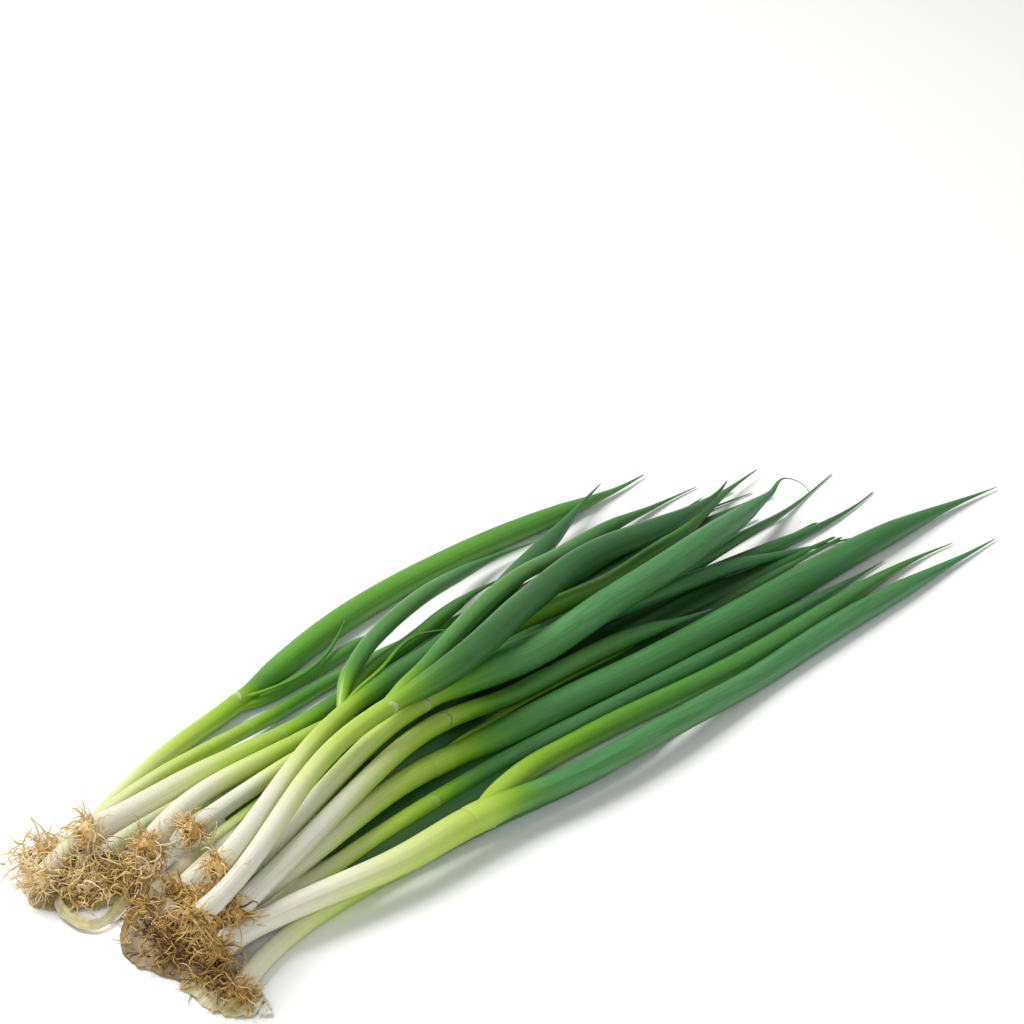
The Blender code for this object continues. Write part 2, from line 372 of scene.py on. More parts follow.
def rootMaterial():
    s = Shading("dryRootThreads")
    where = s.add("ShaderNodeTexCoord").outputs["Object"]
    dust = s.noise(where, (1, 1, 1), 320.0, 3.0, 0.6)
    age = s.math("ADD", s.attribute("age"), s.range(dust, 0.3, 0.7, -0.16, 0.16), clamp=True)
    colour = s.ramp(age, [(0.0, (0.82, 0.70, 0.46)), (0.26, (0.76, 0.53, 0.21)), (0.54, (0.57, 0.35, 0.09)),
                          (0.78, (0.27, 0.165, 0.045)), (1.0, (0.06, 0.033, 0.012))])
    s.link(colour, s.shader.inputs["Base Color"])
    s.bump(dust, 0.5, 0.2 * mm)
    s.shader.inputs["Roughness"].default_value = 0.62
    s.shader.inputs["Specular IOR Level"].default_value = 0.4
    s.shader.inputs["Subsurface Weight"].default_value = 0.15
    s.shader.inputs["Subsurface Radius"].default_value = (1.0, 0.7, 0.3)
    s.shader.inputs["Subsurface Scale"].default_value = 0.8 * mm
    return s.material


def paperMaterial():
    # thin dried skin, striated along its length; "tone" runs from grey white to brown
    s = Shading("papery skin")
    along = s.attribute("strand", vector=True)
    lines = s.noise(along, (1.5, 0.10, 1.0), 1.0, 4.0, 0.65)
    stains = s.noise(along, (0.16, 0.22, 1.0), 1.0, 3.0, 0.6)
    tone = s.math("ADD", s.attribute("tone"), s.range(stains, 0.3, 0.7, -0.22, 0.22), clamp=True)
    colour = s.ramp(tone, [(0.0, (0.70, 0.70, 0.58)), (0.35, (0.52, 0.46, 0.22)),
                           (0.65, (0.29, 0.21, 0.048)), (1.0, (0.15, 0.095, 0.02))])
    shade = s.add("ShaderNodeCombineColor")
    for socket in shade.inputs[:3]:
        s.link(s.range(lines, 0.3, 0.7, 0.62, 1.22), socket)
    s.link(s.mix(1.0, colour, shade.outputs[0], "MULTIPLY"), s.shader.inputs["Base Color"])
    s.bump(lines, 0.35, 0.12 * mm)
    s.shader.inputs["Roughness"].default_value = 0.45
    s.shader.inputs["Subsurface Weight"].default_value = 0.3
    s.shader.inputs["Subsurface Radius"].default_value = (1.0, 0.9, 0.5)
    s.shader.inputs["Subsurface Scale"].default_value = 1.0 * mm
    return s.material


materials = {
    "shank": skinMaterial("waxyShankSkin", 0.22),
    "leaf": skinMaterial("waxyLeafSkin", 0.08),
    "roots": rootMaterial(),
    "paper": paperMaterial(),
}
print("materials ready:", ", ".join(sorted(m.name for m in materials.values())))


def smooth(low, high, value):
    t = np.clip((value - low) / (high - low), 0, 1)
    return t * t * (3 - 2 * t)


def addGrid(name, alongCount, aroundCount):
    # a flat grid that gets rolled; returns it with each corner's share along and around
    deselectAll()
    bpy.ops.mesh.primitive_grid_add(x_subdivisions=alongCount, y_subdivisions=aroundCount, size=2)
    piece = bpy.context.object
    piece.name = name
    piece.data.name = name
    flat = np.zeros(len(piece.data.vertices) * 3)
    piece.data.vertices.foreach_get("co", flat)
    flat = flat.reshape(-1, 3)
    return piece, (flat[:, 0] + 1) / 2, (flat[:, 1] + 1) / 2


def paint(piece, name, values):
    if np.ndim(values) == 2:
        layer = piece.data.attributes.new(name, "FLOAT_VECTOR", "POINT")
        layer.data.foreach_set("vector", np.ascontiguousarray(values, np.float32).ravel())
    else:
        layer = piece.data.attributes.new(name, "FLOAT", "POINT")
        layer.data.foreach_set("value", np.ascontiguousarray(np.clip(values, 0, 1), np.float32))


def closeRoll(piece, material):
    # merges the seam and the drawn-in ends, turns the faces out and smooths them
    bpy.ops.object.select_all(action="DESELECT")
    piece.select_set(True)
    bpy.context.view_layer.objects.active = piece
    bpy.ops.object.mode_set(mode="EDIT")
    bpy.ops.mesh.select_all(action="SELECT")
    bpy.ops.mesh.remove_doubles(threshold=0.000002)
    bpy.ops.mesh.dissolve_degenerate(threshold=0.000001)
    bpy.ops.mesh.normals_make_consistent(inside=False)
    bpy.ops.object.mode_set(mode="OBJECT")
    bpy.ops.object.shade_smooth()
    piece.data.materials.clear()
    piece.data.materials.append(material)


def settle(piece, slot, *replaced):
    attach(piece, "root")
    if replaced:
        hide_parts(*replaced)


def strandCoordinates(s, around, turn):
    # seamless pattern coordinates: round the strand in x and y, along it in z (millimetres)
    return np.stack([np.cos(around) + turn, np.sin(around) - turn, s / mm + 37 * turn], axis=-1)


def wobble(s, around, turn, reach):
    # slow swelling and flattening of a plant section, as a share of its radius
    value = 0.5 * np.sin(s / (17 * mm) + turn * 5 + 2 * around)
    value += 0.3 * np.sin(s / (29 * mm) - turn * 3 + around)
    value += 0.35 * np.sin(s / (11 * mm) + turn * 9 - 3 * around)
    return 1 + reach * value


# for each onion: the share of its shank that stays white, how green it is at its collar,
# and how far past the collar the leaf is fully green (mm)
skinLook = {
    1: (0.03, 0.62, 28), 2: (0.08, 0.58, 60), 3: (0.15, 0.52, 50), 4: (0.20, 0.57, 50),
    5: (0.25, 0.52, 50), 6: (0.30, 0.52, 50), 7: (0.30, 0.52, 50), 8: (0.35, 0.52, 50),
    9: (0.16, 0.62, 45), 10: (0.12, 0.64, 40), 11: (0.28, 0.46, 42), 12: (0.30, 0.52, 48),
    13: (0.34, 0.46, 48), 14: (0.34, 0.50, 55), 15: (0.28, 0.56, 50), 16: (0.30, 0.54, 42),
}
# brown papery or rusty stretches of the shanks, from the root (share of the length)
paperyShanks = {5: 0.55, 10: 0.10, 9: 0.12}
rustyShanks = {4: 0.45, 2: 0.25, 3: 0.5}


def greenness(number, past, length, around):
    # how green the skin is at a distance past the collar (negative on the shank)
    white, collar, reach = skinLook[number]
    places = [-length, -(1 - white) * length, -0.5 * (1 - white) * length, 0, 0.4 * reach * mm, reach * mm]
    values = [0, 0.08, 0.29, collar, collar + 0.62 * (1 - collar), 1]
    # the underside is greener: partly the sheath's own colour, partly painted shade of the lower side
    under = -np.sin(around) * 0.09 * smooth(-0.9 * length, -0.5 * length, past)
    return np.interp(past, places, values) + under * (1 - smooth(0, reach * mm, past))


shankLook = {
    "around": 40,
    "step": 1.5 * mm,
    "skinShare": 1.0,         # round skin against the CAD's eight corners
    "flatten": 0.975,
    "shoulder": 2.4 * mm,     # the rounding over the root plate
    "bulge": 0.12,
    "bulgeLength": 8 * mm,
    "lip": 4.2 * mm,          # how far the sheath's free edge reaches past the collar
    "lipFlare": 0.05,
    "wall": 0.14 * mm,
    "wallReach": 9 * mm,      # how far back inside the sheath its wall is modelled
    "freeEdge": 2.4 * mm,     # length of the sheath's pale free edge
    "flareLength": 6 * mm,
    "reachLength": 12 * mm,
    "dryBase": 3.4 * mm,      # how far the brown of the root plate fades up the shank
    "burntBase": (0.15 * mm, 1.0 * mm),
    "surface": 0.1 * mm,      # no skin lies lower than this
    "dive": 9 * mm,           # where the sheath slips under its outer leaf, before the collar
    "diveDepth": 0.10,
    "wobble": 0.018,
    "openSide": 2.3,          # where the free edge is when one leaf fills the sheath (radians)
}


def biggestLeaf(onion):
    sizes = [tube[1].max() for tube in onion["leafTubes"]]
    return sizes.index(max(sizes))


def openSide(onion):
    # direction of the sheath's free edge: across from the outer leaf
    if len(onion["leafNames"]) == 1:
        return shankLook["openSide"]
    shank = onion["shank"]
    offset = onion["leafTubes"][biggestLeaf(onion)][0][0] - shank.point[-1]
    return math.atan2(-float(offset @ shank.up[-1]), -float(offset @ shank.side[-1]))


def makeShank(number, onion):
    look = shankLook
    route = onion["shank"]
    turn = number * 0.37
    length = route.length
    # stations: closed base, shoulder, straight run, lip, then back inside the wall
    shoulder = look["shoulder"]
    base = shoulder * (1 - np.cos(np.linspace(0, 1, 7) * math.pi / 2))
    run = np.arange(shoulder, length, look["step"])
    inside = length - np.linspace(0, look["wallReach"], 6)
    along = np.r_[base, run[1:], length, inside]
    wall = np.zeros(len(along))
    wall[-len(inside):] = 1
    piece, u, v = addGrid(f"onion{onion['name']}Shank", len(along) - 1, look["around"])
    station = np.rint(u * (len(along) - 1)).astype(int)
    s = along[station]
    inner = wall[station]
    around = v * 2 * math.pi - math.pi / 2
    radius = route.radiusAt(np.clip(s, 0, length)) * look["skinShare"]
    radius *= 1 + look["bulge"] * np.exp(-((s - shoulder) / look["bulgeLength"]) ** 2)
    rounding = np.sqrt(np.clip(1 - (1 - np.clip(s / shoulder, 0, 1)) ** 2, 0, 1))
    radius *= np.where(s < shoulder, rounding, 1)
    radius *= wobble(s, around, turn, look["wobble"])
    toOpen = (1 + np.cos(around - openSide(onion))) / 2
    free = smooth(0.5, 0.98, toOpen)
    # the free edge flares a little; the rest slips under the outer leaf's skin
    radius *= 1 + look["lipFlare"] * free * smooth(length - look["flareLength"], length, s)
    radius *= 1 - look["diveDepth"] * (1 - free) * smooth(length - look["dive"], length - 2 * mm, s)
    radius -= inner * look["wall"]
    last = station == len(along) - 1
    radius[last] = 0
    reach = look["lip"] * (toOpen ** 2 - 0.35) * smooth(length - look["reachLength"], length, s)
    placed = s + np.where(last, 0, reach)
    co = route.place(placed, around, radius, look["flatten"])
    co[:, 2] = np.maximum(co[:, 2], look["surface"])
    piece.data.vertices.foreach_set("co", co.ravel())

    share = s / length
    paint(piece, "green", greenness(number, s - length, length, around))
    paint(piece, "strand", strandCoordinates(s, around, turn))
    edge = smooth(length - look["freeEdge"], length, s) * free
    paint(piece, "pale", edge * (0.48 if len(onion["leafNames"]) > 1 else 0.12))
    paint(piece, "fresh", np.full(len(s), 0.5))
    paint(piece, "bloomAndSheen", np.zeros(len(s)))
    # painted shade on the wall modelled back inside the sheath
    paint(piece, "paintedShade", 0.30 * inner)
    rust = 1 - smooth(0, rustyShanks.get(number, 0.001), share)
    paint(piece, "rust", 0.65 * rust * smooth(0.1, -0.7, np.sin(around)))
    papery = paperyShanks.get(number, 0.001)
    paper = 1 - smooth(0.3 * papery, papery, share)
    paint(piece, "dry", np.maximum(0.7 * np.exp(-(s / look["dryBase"]) ** 2), 0.62 * paper))
    paint(piece, "burnt", 0.95 * (1 - smooth(*look["burntBase"], s)))
    closeRoll(piece, materials["shank"])
    settle(piece, "shank", "shank_" + onion["name"])


leafLook = {
    "around": 32,
    "step": 1.6 * mm,
    "skinShare": 1.02,
    "startInside": 11 * mm,
    "settled": 26 * mm,       # past the collar, where the outer leaf has its own width
    "easing": 26 * mm,        # how far to either side of the collar the line is eased
    "easings": 260,
    "firstStations": (0, 4, 9, 15, 22, 30),     # where the outer leaf's line is read (mm)
    "laterStations": (45 * mm, 15 * mm),        # from here on, every so far
    "lastGap": 8 * mm,
    "crowding": 0.08,         # how much closer the stations are at both ends
    "grown": (-5 * mm, 25 * mm),                # where the leaf's own section takes over
    "tipGirth": 0.48,
    # a sideways push (mm, and where as a share of the length) and a curled tip (mm)
    "nudge": {"leaf_14_1": (3.2 * mm, 0.36)},
    "hook": {"leaf_14_1": [(157.5, 4.5, 10.5), (157.5, 0.5, 9.5), (155, -4, 8)]},
    "wobble": 0.03,
    "tipShare": 0.20,
    # how fresh and yellow-green a leaf is, and how far up it stays so (share of its length)
    "fresh": {"leaf_01_1": (0.85, 1.0), "leaf_01_2": (0.7, 1.0), "leaf_01_3": (1.0, 1.0),
              "leaf_02_1": (0.7, 0.8), "leaf_03_1": (0.5, 0.8), "leaf_04_1": (0.35, 0.6),
              "leaf_07_1": (0.4, 0.8), "leaf_11_2": (0.9, 0.55), "leaf_12_2": (0.9, 0.9),
              "leaf_13_1": (0.5, 0.9), "leaf_14_1": (0.25, 0.5), "leaf_14_2": (0.9, 0.9),
              "leaf_15_2": (0.45, 0.9), "leaf_16_1": (0.8, 0.9), "leaf_16_3": (1.0, 1.0),
              "leaf_16_4": (0.4, 1.0)},
    # how strong each leaf's bloom and painted sheen on its lit upper side are
    "bloomAndSheen": {"leaf_12_1": 0.6, "leaf_15_1": 0.55, "leaf_16_2": 0.4, "leaf_11_1": 1.25, "leaf_14_1": 1.25},
    # painted shade for leaves that lie in shade: how dark each one is
    "paintedShade": {"leaf_15_1": 0.42, "leaf_09_1": 0.25, "leaf_16_2": 0.15, "leaf_08_1": 0.15, "leaf_06_1": 0.2},
    # leaves that stay yellow-green for longer past the collar (times the usual reach)
    "slow": {"leaf_11_2": 3.4, "leaf_12_2": 3.4, "leaf_14_2": 3.6, "leaf_16_1": 2.2, "leaf_16_3": 2.5,
             "leaf_01_3": 2.0, "leaf_04_1": 1.3, "leaf_13_1": 1.3},
    "dryTip": {"leaf_11_1": 7 * mm, "leaf_11_2": 10 * mm, "leaf_12_1": 10 * mm, "leaf_09_1": 8 * mm,
               "leaf_08_1": 5 * mm, "leaf_07_1": 8 * mm, "leaf_15_2": 6 * mm, "leaf_14_2": 6 * mm},
}


def outerLeafRoute(onion):
    # the outer leaf grows out of the whole sheath and only then takes its own width and line
    nodeName = onion["leafNames"][biggestLeaf(onion)]
    centres, radii = onion["leafTubes"][biggestLeaf(onion)]
    own = Route(centres, radii)
    s = np.r_[leafLook["firstStations"]] * mm
    start, step = leafLook["laterStations"]
    rest = np.arange(start, own.length, step)
    s = np.r_[s, rest[rest < own.length - leafLook["lastGap"]], own.length]
    share = smooth(0, leafLook["settled"], s)
    offset = centres[0] - onion["shank"].point[-1]
    points = own.take(own.point, s) - offset * (1 - share)[:, None]
    collarRadius = onion["shank"].radius[-1] * shankLook["skinShare"]
    radius = collarRadius * (1 - share) + own.radiusAt(s) * leafLook["skinShare"] * share
    nudge, middle = leafLook["nudge"].get(nodeName, (0, 0.5))
    pushed = nudge * np.exp(-((s / own.length - middle) / 0.16) ** 2)
    points = points + own.take(own.side, s) * pushed[:, None]
    for place in leafLook["hook"].get(nodeName, []):
        points = np.vstack([points, np.array(place) * mm])
        radius = np.r_[radius, 0.42 * mm]
    return Route(points, radius)


def joinAtCollar(onion):
    # one smooth line through the shank and its outer leaf
    shank, leaf = onion["shank"], outerLeafRoute(onion)
    onion["oldEnd"] = shank.point[-1].copy()
    line = np.vstack([shank.point, leaf.point[1:]])
    count = len(shank.point)
    at = np.r_[0, np.cumsum(np.linalg.norm(np.diff(line, axis=0), axis=1))]
    weight = 0.5 * np.exp(-((at - at[count - 1]) / leafLook["easing"]) ** 2)[1:-1, None]
    for _ in range(leafLook["easings"]):
        line[1:-1] += weight * ((line[:-2] + line[2:]) / 2 - line[1:-1])
    back = int(leafLook["startInside"] / (1.5 * mm))
    shank.point = line[:count]
    leaf.point = line[count - 1 - back:]
    inside = np.linspace(0.90, 1.0, back) * shank.radius[-1] * shankLook["skinShare"]
    inside[back // 2:] = leaf.radius[0]
    leaf.radius = np.r_[inside, leaf.radius]
    shank.measure()
    leaf.measure()
    onion["outerRoute"] = leaf


def innerLeafRoute(onion, index):
    # an inner leaf's line, drawn back into the top of its shank
    centres, radii = onion["leafTubes"][index]
    shank = onion["shank"]
    own = Route(centres, radii)
    offset = centres[0] - onion["oldEnd"]
    moved = shank.point[-1] - onion["oldEnd"]
    points = own.point + moved * (1 - smooth(0, 45 * mm, own.at))[:, None]
    radius = own.radius * leafLook["skinShare"]
    radius = np.maximum(radius, 1.1 * radius[0] * (1 - smooth(0, 30 * mm, own.at)))
    back = shank.length - np.array([leafLook["startInside"], 6 * mm])
    inside = shank.take(shank.point, back) + 0.7 * offset
    few = np.r_[0:len(points) - 1:4, len(points) - 1]
    return Route(np.vstack([inside, points[few]]), np.r_[0.9 * radius[0], radius[0], radius[few]])


def makeLeaf(number, onion, index):
    look = leafLook
    nodeName = onion["leafNames"][index]
    outer = index == biggestLeaf(onion)
    route = onion["outerRoute"] if outer else innerLeafRoute(onion, index)
    turn = number * 0.37 + (0 if outer else 1.7 * index + 0.6)
    length = route.length
    count = int(length / look["step"])
    piece, u, v = addGrid(f"onion{onion['name']}Leaf{index + 1}", count, look["around"])
    # closer stations at both ends, so that the drawn-in ends stay round
    s = length * (u - look["crowding"] * np.sin(2 * math.pi * u) / (2 * math.pi))
    past = s - look["startInside"]
    around = v * 2 * math.pi - math.pi / 2
    radius = route.radiusAt(s)
    grown = smooth(*look["grown"], past)
    radius *= wobble(past + onion["shank"].length, around, turn, shankLook["wobble"] * (1 - grown))
    radius *= wobble(s, around, turn, look["wobble"] * grown)
    # drawn to a fine, flattened point
    left = length - s
    tip = np.clip(left / (look["tipShare"] * length), 0, 1)
    radius *= look["tipGirth"] + (1 - look["tipGirth"]) * tip
    radius = np.where((left < 1e-7) | (s < 1e-7), 0, radius)
    flatten = shankLook["flatten"] - grown * (0.05 + 0.28 * (1 - tip) - 0.04 * np.sin(s / (37 * mm) + turn))
    lean = grown * (0.6 * np.sin(turn * 7) * (1 - tip) + 0.25 * np.sin(s / (60 * mm) + turn))
    ring = np.stack([np.cos(around), np.sin(around) * flatten], axis=-1)
    turned = np.stack([ring[:, 0] * np.cos(lean) - ring[:, 1] * np.sin(lean),
                       ring[:, 0] * np.sin(lean) + ring[:, 1] * np.cos(lean)], axis=-1)
    out = radius * np.linalg.norm(turned, axis=1)
    angle = np.arctan2(turned[:, 1], turned[:, 0])
    co = route.place(s, angle, out)
    co[:, 2] = np.maximum(co[:, 2], shankLook["surface"])
    piece.data.vertices.foreach_set("co", co.ravel())

    slow = look["slow"].get(nodeName, 1.0)
    if not outer:
        slow *= 1.25
    pace = np.where(past > 0, past / slow, past)
    green = greenness(number, pace, onion["shank"].length, around)
    paint(piece, "green", green)
    paint(piece, "strand", strandCoordinates(past + onion["shank"].length, around, turn))
    fresh, until = look["fresh"].get(nodeName, (0.12, 0.6))
    paint(piece, "fresh", fresh * (1 - 0.75 * smooth(0.45 * until, until + 0.05, s / length)))
    # bloom and painted sheen on the upper, lit side of the leaf
    lit = smooth(-0.35, 0.75, np.sin(around - 0.5)) * look["bloomAndSheen"].get(nodeName, 0.8)
    paint(piece, "bloomAndSheen", lit * smooth(0.6, 1.0, green) * (1 - 0.6 * fresh))
    # painted shade, growing past the collar
    paint(piece, "paintedShade", look["paintedShade"].get(nodeName, 0.0) * smooth(-10 * mm, 40 * mm, past))
    dryLength = look["dryTip"].get(nodeName, 2.5 * mm)
    paint(piece, "dry", 0.75 * (1 - smooth(0, dryLength, left)))
    for other in ("pale", "rust", "burnt"):
        paint(piece, other, np.zeros(len(s)))
    closeRoll(piece, materials["leaf"])
    settle(piece, "leaf", nodeName)


for number, onion in onions.items():
    joinAtCollar(onion)
    makeShank(number, onion)
    for index in range(len(onion["leafNames"])):
        makeLeaf(number, onion, index)
print("shanks and leaves rolled")


# leaves at the bottom of the pile, painted dark as shade, of which only slivers show: start, tip, bow and
# girth (mm)
lowLeaves = {
    "lowLeafA": ((-150, -40), (112, -47), -2, 11),
    "lowLeafB": ((-150, -28), (140, -40), 4, 12),
    "lowLeafC": ((-174, -21), (148, -26), 3, 12),
    "lowLeafD": ((-145, -6), (150, -12), 2, 12),
    "lowLeafE": ((-105, 14), (150, 2), 1, 12),
    "lowLeafF": ((-70, 22), (156, 16), 5, 12),
    "lowLeafG": ((-104, -34), (40, -50), -2, 9),
    "lowLeafH": ((-140, 6), (100, 16), 1, 12),
    "lowLeafI": ((-60, 30), (148, 30), 3, 11),
    "lowLeafJ": ((-90, 12), (138, 9), 4, 12),
    "lowLeafK": ((-20, -6), (146, -24), 0, 12),
    "lowLeafL": ((-120, -13), (30, -18), 0, 9),
}


lowLeafLook = {
    "places": 15,             # points on the line of each
    "height": 2.0,            # of that line over the surface (mm)
    "grid": (120, 24),        # along and around
    "flatten": 0.36,
    # painted shade: how dark the hidden length and the tip are
    "dark": (0.86, 0.26),     # how dark its hidden length and its tip are
    "fresh": 0.1,
}


def makeLowLeaf(name):
    look = lowLeafLook
    start, tip, bow, girth = lowLeaves[name]
    share = np.linspace(0, 1, look["places"])
    start, tip = np.array(start, float), np.array(tip, float)
    across = np.array([start[1] - tip[1], tip[0] - start[0]]) / np.linalg.norm(tip - start)
    plan = start + share[:, None] * (tip - start) + (bow * np.sin(math.pi * share))[:, None] * across
    points = np.column_stack([plan, np.full(look["places"], look["height"])]) * mm
    width = girth / 2 * np.minimum(1, 0.35 + 6 * share) * np.clip(2.4 * (1 - share), 0.12, 1)
    route = Route(points, width * mm)
    piece, u, v = addGrid(name, *look["grid"])
    s = u * route.length
    around = v * 2 * math.pi - math.pi / 2
    radius = np.where((u < 1e-6) | (u > 1 - 1e-6), 0, route.radiusAt(s))
    co = route.place(s, around, radius, look["flatten"])
    co[:, 2] = np.maximum(co[:, 2], shankLook["surface"])
    piece.data.vertices.foreach_set("co", co.ravel())
    turn = len(lowLeaves) + start[1]
    paint(piece, "green", 0.65 + 0.35 * smooth(0.05, 0.35, u))
    hidden, shown = look["dark"]
    # painted shade: dark along the hidden length, less at the showing tip
    paint(piece, "paintedShade", hidden - (hidden - shown) * smooth(0.72, 0.95, u))
    paint(piece, "strand", strandCoordinates(s, around, turn))
    paint(piece, "fresh", np.full(len(s), look["fresh"]))
    # bloom and painted sheen on the upper side
    paint(piece, "bloomAndSheen", 0.3 * smooth(0, 1, np.sin(around)))
    for other in ("pale", "rust", "dry", "burnt"):
        paint(piece, other, np.zeros(len(s)))
    closeRoll(piece, materials["leaf"])
    settle(piece, "leaf")


for name in lowLeaves:
    makeLowLeaf(name)
print("low leaves rolled")


rootLook = {
    "threads": 120,
    "segments": 10,
    "sides": 4,
    "thickness": (0.18 * mm, 0.42 * mm),
    "length": (4 * mm, 12 * mm),
    "plateShare": 0.85,
    "plateReach": 1.0,
    "plateDepth": 3.2 * mm,
    "plateRough": 0.22,
    "hollow": (0.30, 2.2 * mm),                 # its width as a share of the plate, and its depth
    "surface": (0.2 * mm, 0.5 * mm, 0.8 * mm),  # lowest plate, thread and start of a loose thread
    "curl": 0.72,
    "sag": 0.08,
    # how much browner the tufts are than the palest
    "brown": {1: -0.05, 2: -0.12, 3: -0.05, 4: -0.05, 5: 0.38, 6: 0.28, 7: 0.06, 8: 0.04, 9: 0.40,
              10: 0.24, 11: 0.38, 12: 0.36, 13: 0.32, 14: 0.26, 15: 0.34, 16: 0.10},
    # matted loose roots between the tufts: where (mm), reach (mm), how many and how brown
    "mats": {
        "leftMat": ((-196, 27, 6), (11, 12, 6), 420, -0.14),
        "leftLowMat": ((-195, 12, 5), (11, 11, 4), 330, -0.10),
        "middleMat": ((-184, 0, 8), (10, 11, 6), 190, 0.04),
        "frontMat": ((-194, -32, 6), (10, 15, 5), 400, 0.42),
        "lowerMat": ((-197, -55, 4), (5, 8, 3), 130, 0.42),
    },
}


def makeThreadMould():
    # one straight thread, one unit long, closed at both ends and cut only along its length
    deselectAll()
    bpy.ops.mesh.primitive_cylinder_add(vertices=rootLook["sides"], radius=1, depth=1,
                                        end_fill_type="NGON", location=(0, 0, 0.5))
    mould = bpy.context.object
    bpy.ops.object.transform_apply(location=True, rotation=True, scale=True)
    thread = bmesh.new()
    thread.from_mesh(mould.data)
    bpy.data.objects.remove(mould)
    lengthwise = [e for e in thread.edges if abs(e.verts[0].co.z - e.verts[1].co.z) > 0.5]
    bmesh.ops.subdivide_edges(thread, edges=lengthwise, cuts=rootLook["segments"] - 1, use_grid_fill=True)
    thread.verts.index_update()
    corners = np.array([v.co[:] for v in thread.verts])
    faces = [tuple(v.index for v in face.verts) for face in thread.faces]
    thread.free()
    return corners, faces


threadCorners, threadFaces = makeThreadMould()


def threadPath(rng, start, direction, length, sag):
    # a wandering line that sags and never dips below the surface
    count = rootLook["segments"] + 1
    step = length / (count - 1)
    points = [np.array(start)]
    heading = np.array(direction)
    bend = np.array([rng.gauss(0, 1) for _ in range(3)])
    for _ in range(count - 1):
        bend = 0.7 * bend + 0.4 * np.array([rng.gauss(0, 1) for _ in range(3)])
        heading = heading + rootLook["curl"] * bend
        heading[2] -= sag
        heading /= np.linalg.norm(heading)
        following = points[-1] + heading * step
        if following[2] < rootLook["surface"][1]:
            following[2] = rootLook["surface"][1]
            heading[2] = abs(heading[2]) * 0.2
        points.append(following)
    return np.array(points)


def bendThread(path, thickness):
    # the mould's corners laid along a path, tapering to its end
    count = len(path)
    tangent = np.gradient(path, axis=0)
    tangent /= np.linalg.norm(tangent, axis=1)[:, None]
    side = np.cross(tangent, [0.31, 0.17, 0.93])
    side /= np.linalg.norm(side, axis=1)[:, None]
    other = np.cross(tangent, side)
    station = np.rint(threadCorners[:, 2] * (count - 1)).astype(int)
    taper = thickness * (1 - 0.75 * threadCorners[:, 2] ** 1.5)
    return (path[station] + side[station] * (threadCorners[:, 0] * taper)[:, None]
            + other[station] * (threadCorners[:, 1] * taper)[:, None])


def gatherThreads(name, paths, *replaced):
    corners, faces, ages = [], [], []
    for path, thickness, age in paths:
        first = len(corners) * len(threadCorners)
        corners.append(bendThread(path, thickness))
        faces += [tuple(first + i for i in face) for face in threadFaces]
        ages.append(age + 0.30 * (1 - threadCorners[:, 2]) ** 2 - 0.1)
    mesh = bpy.data.meshes.new(name)
    mesh.from_pydata(np.vstack(corners).tolist(), [], faces)
    piece = bpy.data.objects.new(name, mesh)
    bpy.context.collection.objects.link(piece)
    paint(piece, "age", np.concatenate(ages))
    mesh.shade_smooth()
    mesh.materials.append(materials["roots"])
    settle(piece, "roots", *replaced)


def makeRoots(number, onion):
    rng = random.Random(100 + number)
    shank = onion["shank"]
    backwards = -shank.tangent[0]
    side, up = shank.side[0], shank.up[0]
    plate = shank.radius[0] * rootLook["plateShare"]
    brown = rootLook["brown"][number]
    paths = []
    for _ in range(rootLook["threads"]):
        angle = rng.uniform(0, 2 * math.pi)
        share = math.sqrt(rng.uniform(0.12, 1))
        ray = side * math.cos(angle) + up * math.sin(angle)
        start = shank.point[0] + ray * plate * share - backwards * 1.6 * mm * share ** 2
        direction = backwards * rng.uniform(-0.25, 0.9) + ray * rng.uniform(0.2, 1.2) * share
        direction /= np.linalg.norm(direction)
        path = threadPath(rng, start, direction, rng.uniform(*rootLook["length"]), rootLook["sag"])
        paths.append((path, rng.uniform(*rootLook["thickness"]), brown + 0.55 * rng.random() ** 1.3))
    gatherThreads(f"onion{onion['name']}Roots", paths, "roots_" + onion["name"])


def makePlate(number, onion):
    # the matted knot of roots behind the shank, with its dark hollow in the middle
    deselectAll()
    bpy.ops.mesh.primitive_uv_sphere_add(segments=28, ring_count=18, radius=1)
    piece = bpy.context.object
    piece.name = f"onion{onion['name']}RootPlate"
    bpy.ops.object.shade_smooth()
    shank = onion["shank"]
    flat = np.zeros(len(piece.data.vertices) * 3)
    piece.data.vertices.foreach_get("co", flat)
    ball = flat.reshape(-1, 3)
    rough = np.array([noise.fractal(Vector(c) * 2.6 + Vector((number, 0, 0)), 1.0, 2.0, 3) for c in ball])
    out = np.linalg.norm(ball[:, :2], axis=1)
    width, depth = rootLook["hollow"]
    hollow = np.exp(-(out / width) ** 2) * (ball[:, 2] > 0)
    radius = shank.radius[0] * rootLook["plateReach"]
    swollen = 1 + rootLook["plateRough"] * rough
    behind = ball[:, 2] * swollen * rootLook["plateDepth"] - hollow * depth
    co = (shank.point[0] - np.outer(behind - 0.4 * mm, shank.tangent[0])
          + np.outer(ball[:, 0] * radius * swollen, shank.side[0])
          + np.outer(ball[:, 1] * radius * swollen, shank.up[0]))
    co[:, 2] = np.maximum(co[:, 2], rootLook["surface"][0])
    piece.data.vertices.foreach_set("co", co.ravel())
    paint(piece, "age", rootLook["brown"][number] + 0.34 + 0.35 * rough + 0.7 * hollow)
    piece.data.materials.append(materials["roots"])
    settle(piece, "roots")


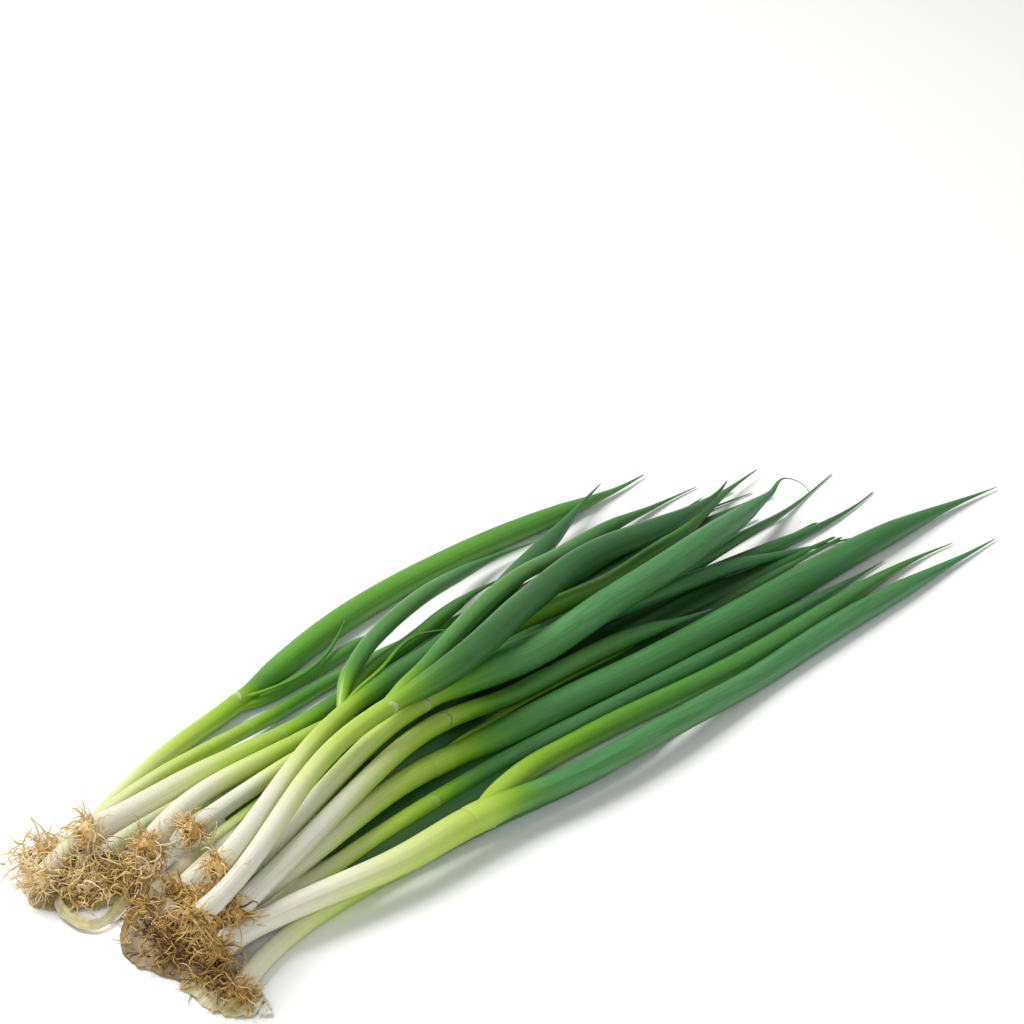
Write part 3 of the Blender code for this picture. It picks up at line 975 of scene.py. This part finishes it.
def makeMat(name):
    rng = random.Random(name)
    middle, reach, count, brown = rootLook["mats"][name]
    paths = []
    for _ in range(count):
        start = [(m + r * rng.gauss(0, 0.45)) * mm for m, r in zip(middle, reach)]
        start[2] = max(start[2], rootLook["surface"][2])
        direction = np.array([rng.gauss(0, 1), rng.gauss(0, 1), rng.gauss(0, 0.25)])
        direction /= np.linalg.norm(direction)
        path = threadPath(rng, start, direction, rng.uniform(*rootLook["length"]), 0.03)
        paths.append((path, rng.uniform(*rootLook["thickness"]), brown + 0.55 * rng.random()))
    gatherThreads(name, paths)


for number, onion in onions.items():
    makeRoots(number, onion)
    makePlate(number, onion)
for name in rootLook["mats"]:
    makeMat(name)
print("roots grown")


# papery skins that have come off: two edges each (mm), how brown, and how ragged the end
sheets = {
    "creamStrip": {
        "near": [(-205.9, 12, 3), (-208.4, 8, 2.2), (-209.2, 2, 1.6), (-208, -5, 1.5), (-203.8, -7.6, 1.5),
                 (-198, -8, 1.6), (-190, -5.5, 2.5)],
        "far": [(-203, 12, 5), (-205.8, 8, 4.6), (-206.4, 2, 4.2), (-205.4, -3.6, 3.8), (-202.3, -5.3, 4),
                (-198, -5.2, 4.4), (-190.5, -2.5, 5)],
        "tone": 0.30, "crumple": 0.2, "ragged": 0.10, "grain": "along",
    },
    "leftSkin": {
        "near": [(-211, 20, 0.8), (-209, 12, 0.8), (-203, 6, 0.9), (-196, 1, 0.9), (-188, -3, 1.0)],
        "far": [(-196, 36, 4), (-190, 28, 8), (-184, 20, 8), (-180, 13, 7), (-176, 6, 7)],
        "tone": 0.66, "crumple": 0.8, "ragged": 0.08, "grain": "across",
    },
    "frontSkin": {
        "near": [(-195, -9, 0.9), (-202, -15, 0.8), (-207, -24, 0.8), (-206, -34, 0.8), (-203, -44, 0.8),
                 (-204, -52, 0.8)],
        "far": [(-184, -5, 7), (-184, -12, 9), (-184, -22, 9), (-184, -32, 8), (-186, -42, 6),
                (-190, -50, 5)],
        "tone": 0.90, "crumple": 0.9, "ragged": 0.10, "grain": "across",
    },
    "lowerSkin": {
        "near": [(-204, -46, 0.8), (-205, -54, 0.8), (-205, -62, 0.8), (-203, -68, 0.8), (-199, -73, 0.8)],
        "far": [(-190, -46, 4), (-189, -53, 4.5), (-188, -60, 4), (-188, -65, 3), (-189, -69, 1.8)],
        "tone": 0.42, "crumple": 0.8, "ragged": 0.16, "grain": "across",
    },
    "whiteShred": {
        "near": [(-198, -68, 1.0), (-197, -73, 0.9), (-195, -77.5, 0.8)],
        "far": [(-190, -66, 2.6), (-189.5, -70, 2.0), (-190, -74, 1.2)],
        "tone": 0.0, "crumple": 0.5, "ragged": 0.5, "grain": "across",
    },
}


sheetLook = {
    "grid": (110, 40),        # along and across
    "thickness": 0.14 * mm,
    "surface": 0.4 * mm,
    "edgePower": 4,           # how wavy a smooth curve through an edge's points may be
}


def alongEdge(points, u):
    points = np.array(points, float)
    places = np.linspace(0, 1, len(points))
    power = min(sheetLook["edgePower"], len(points) - 1)
    lines = [np.polyval(np.polyfit(places, points[:, i], power), u) for i in range(3)]
    return np.stack(lines, -1) * mm


def makeSheet(name):
    # a thin crumpled sheet between two edges, thickened and closed
    look = sheets[name]
    piece, u, v = addGrid(name, *sheetLook["grid"])
    near, far = alongEdge(look["near"], u), alongEdge(look["far"], u)
    jag = np.array([noise.fractal(Vector((a * 9, len(name), 0.5)), 1.0, 2.0, 3) for a in u])
    share = v * (1 - look["ragged"] * (0.5 + jag))
    share += look["ragged"] * 0.6 * (1 - v) * jag
    co = near + (far - near) * share[:, None]
    width = np.linalg.norm(far - near, axis=1) / mm
    lump = [noise.fractal(Vector((a * 6, b * w / 8, len(name))), 1.0, 2.0, 2)
            for a, b, w in zip(u, v, width)]
    co[:, 2] += np.array(lump) * look["crumple"] * mm + 0.5 * look["crumple"] * mm * np.sin(math.pi * v)
    co[:, 2] = np.maximum(co[:, 2], sheetLook["surface"])
    piece.data.vertices.foreach_set("co", co.ravel())
    reach = np.linalg.norm(near.max(0) - near.min(0)) / mm
    places = [u * reach, v * width]
    if look["grain"] == "along":
        places.reverse()
    paint(piece, "strand", np.stack([*places, 0 * u + len(name)], -1))
    paint(piece, "tone", look["tone"] + 0.15 * (v - 0.5))
    solid = piece.modifiers.new("thickness", "SOLIDIFY")
    solid.thickness = sheetLook["thickness"]
    solid.offset = 0
    bpy.ops.object.modifier_apply(modifier=solid.name)
    bpy.ops.object.shade_smooth()
    piece.data.materials.append(materials["paper"])
    settle(piece, "roots")


for name in sheets:
    makeSheet(name)
print("papery skins laid")
